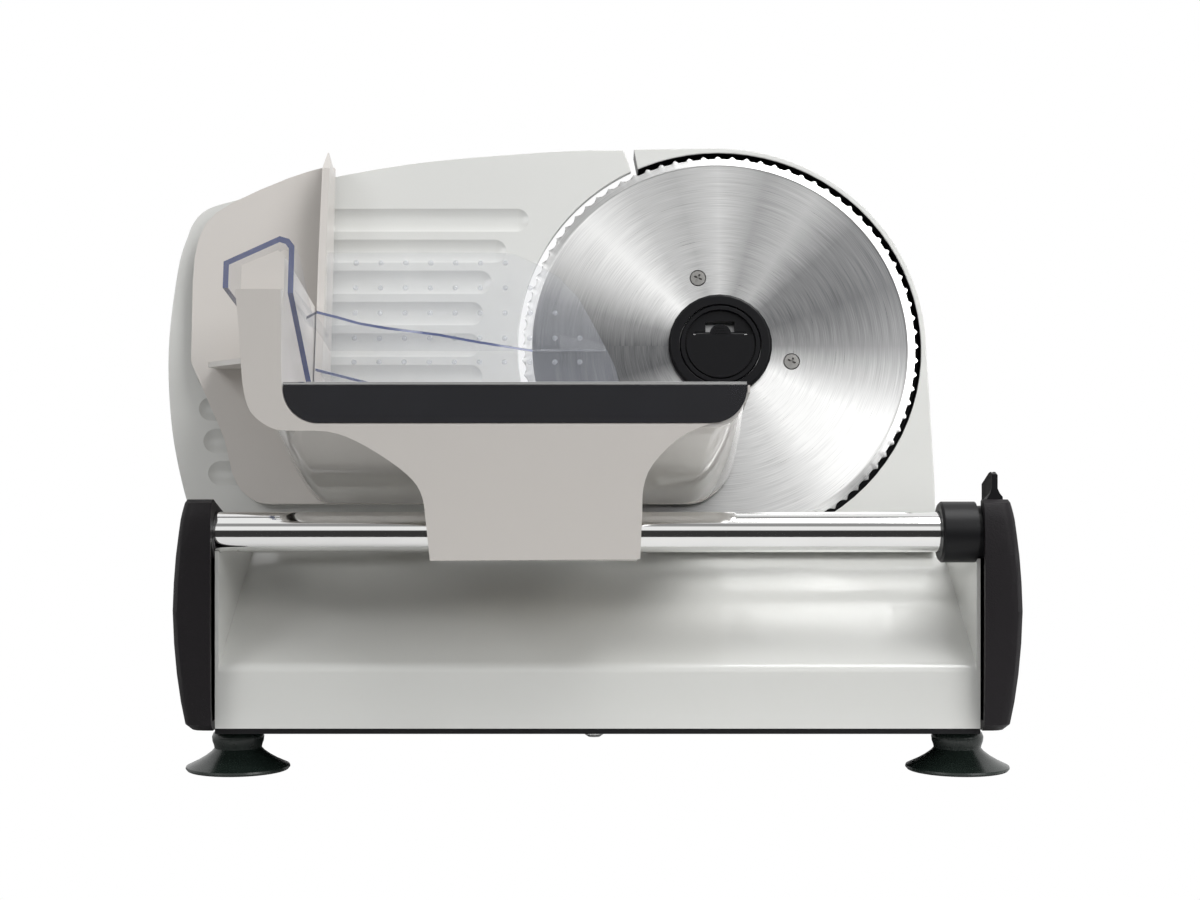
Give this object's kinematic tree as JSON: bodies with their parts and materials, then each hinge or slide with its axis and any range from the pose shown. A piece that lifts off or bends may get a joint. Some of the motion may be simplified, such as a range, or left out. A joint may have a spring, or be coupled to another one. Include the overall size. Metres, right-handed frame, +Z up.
{
  "type": "electric food slicer",
  "caption": "Electric kitchen food slicer: leaning round serrated blade with motor and worm drive, thickness plate, sliding carriage with steel tray, clear pusher.",
  "frame": {"origin": "under the middle of the machine, on the surface that its feet stand on", "axes": "+Z up, +X to the right seen from the front, -Y the front, where the carriage is"},
  "size_m": [0.3878, 0.249, 0.288],
  "materials": {
    "painted_metal": "die cast, satin light grey paint",
    "carriage_plastic": "warm light grey, satin",
    "black_plastic": "black, fine texture",
    "black_gloss": "black, gloss",
    "chrome": "polished",
    "blade_steel": "brushed, ground edge",
    "tray_steel": "polished stainless",
    "clear_plastic": "clear",
    "rubber": "dark, slightly glossy",
    "steel": "bright",
    "cast_aluminium": "as cast",
    "brass": "sintered",
    "nylon": "natural",
    "board": "green laminate"
  },
  "bodies": {
    "frame": {"blade_housing": "painted_metal", "motor_cover": "painted_metal", "base_housing": "painted_metal", "gauge_support": "painted_metal", "bottom_plate": "black_plastic", "left_side_cap": "black_plastic", "right_side_cap": "black_plastic", "switch_body": "black_plastic", "cord_gland": "black_plastic", "guide_rod": "chrome", "suction_foot_front_left": "rubber", "suction_foot_front_right": "rubber", "suction_foot_rear_left": "rubber", "suction_foot_rear_right": "rubber", "motor_can": "steel", "base_screw_front": "steel", "base_screw_rear": "steel", "rear_guide_bar": "steel", "foot_screw_front_left": "steel", "foot_screw_front_right": "steel", "foot_screw_rear_left": "steel", "foot_screw_rear_right": "steel", "gear_housing": "cast_aluminium", "gear_housing_plate": "cast_aluminium", "spindle_bush_front": "brass", "spindle_bush_rear": "brass", "rectifier_board": "board"},
    "carriage": {"carriage_body": "carriage_plastic", "stainless_tray": "tray_steel", "rod_bush_left": "nylon", "rod_bush_right": "nylon", "glide_shoe": "nylon"},
    "pusher": {"pusher": "clear_plastic"},
    "gauge": {"gauge_plate": "painted_metal", "gauge_block": "nylon", "cam_follower_pin": "steel", "gauge_post_left": "steel", "gauge_post_right": "steel"},
    "knob": {"thickness_knob": "black_plastic", "thickness_cam_shaft": "nylon"},
    "blade_drive": {"blade": "blade_steel", "blade_screw_1": "steel", "blade_screw_2": "steel", "blade_screw_3": "steel", "blade_hub": "black_gloss", "blade_carrier": "cast_aluminium", "spindle": "steel", "drive_gear": "nylon"},
    "lock": {"lock_cap": "black_gloss", "flap_pin": "steel"},
    "flap": {"lock_flap": "black_gloss"},
    "armature": {"armature": "steel", "motor_fan": "black_plastic"},
    "lever": {"carriage_lock_lever": "black_plastic"},
    "rocker": {"power_rocker": "black_plastic"}
  },
  "joints": [
    {"name": "carriage_slide", "type": "slide", "parent": "frame", "child": "carriage", "axis": [1, 0, 0], "range_m": [-0.092, 0.13]},
    {"name": "pusher_slide", "type": "slide", "parent": "carriage", "child": "pusher", "axis": [0, -0.9848, 0.1736], "range_m": [-0.02, 0.045]},
    {"name": "thickness_knob", "type": "hinge", "parent": "frame", "child": "knob", "pos_m": [-0.1063, -0.00896, 0.1258], "axis": [0, 0.9848, -0.1736], "range_deg": [0, 270]},
    {"name": "gauge_slide", "type": "slide", "parent": "frame", "child": "gauge", "axis": [0, 0.9848, -0.1736], "range_m": [0, 0.015]},
    {"name": "blade_spin", "type": "hinge", "parent": "frame", "child": "blade_drive", "pos_m": [0.0701, 0.0025, 0.1908], "axis": [0, 0.9848, -0.1736], "continuous": true},
    {"name": "armature_spin", "type": "hinge", "parent": "frame", "child": "armature", "pos_m": [0.1081, 0.04091, 0.18403], "axis": [0, 0.1736, 0.9848], "continuous": true},
    {"name": "lock_cap_turn", "type": "hinge", "parent": "blade_drive", "child": "lock", "pos_m": [0.0701, 0.0025, 0.1908], "axis": [0, 0.9848, -0.1736], "range_deg": [0, 90]},
    {"name": "lock_flap_hinge", "type": "hinge", "parent": "lock", "child": "flap", "pos_m": [0.0701, 0.00115, 0.19581], "axis": [-1, 0, 0], "range_deg": [0, 80]},
    {"name": "carriage_lock", "type": "hinge", "parent": "frame", "child": "lever", "pos_m": [0.1717, -0.0855, 0.1055], "axis": [-1, 0, 0], "range_deg": [0, 60]},
    {"name": "power_rocker", "type": "hinge", "parent": "frame", "child": "rocker", "pos_m": [0.1077, 0.07838, 0.21804], "axis": [-1, 0, 0], "range_deg": [0, 16]}
  ],
  "couplings": [
    {"joint": "thickness_knob", "follows": "gauge_slide", "rad_per_m": 314.15},
    {"joint": "armature_spin", "follows": "blade_spin", "ratio": 40}
  ]
}
